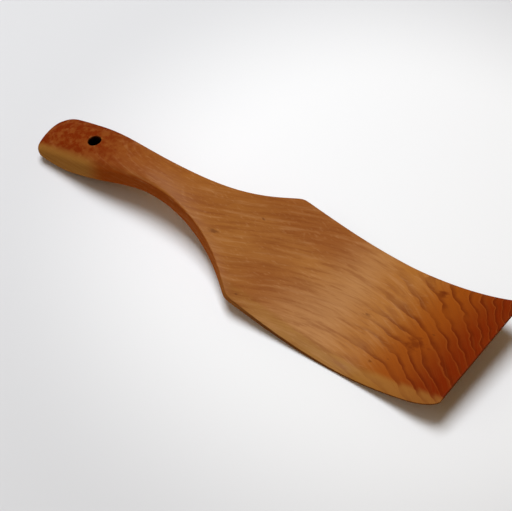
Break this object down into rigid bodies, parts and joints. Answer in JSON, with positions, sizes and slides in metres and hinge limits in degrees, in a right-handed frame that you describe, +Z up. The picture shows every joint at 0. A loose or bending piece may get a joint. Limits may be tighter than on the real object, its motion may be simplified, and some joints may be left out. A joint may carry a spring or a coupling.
{
  "type": "wooden spatula",
  "caption": "Wooden spatula carved from solid hardwood: dished blade with a slanted end, flared neck and an arched, waisted handle drilled for hanging.",
  "frame": {"origin": "on the table, under the middle of the spatula's bounding box", "axes": "+X along the spatula from the butt of the handle to the end of the blade, +Z up from the table on which it lies with the hollow of the blade upwards"},
  "size_m": [0.3044, 0.0846, 0.033],
  "materials": {
    "cherry_wood": "hand sanded, satin oil"
  },
  "bodies": {
    "root": {"spatula_body": "cherry_wood"}
  },
  "joints": []
}
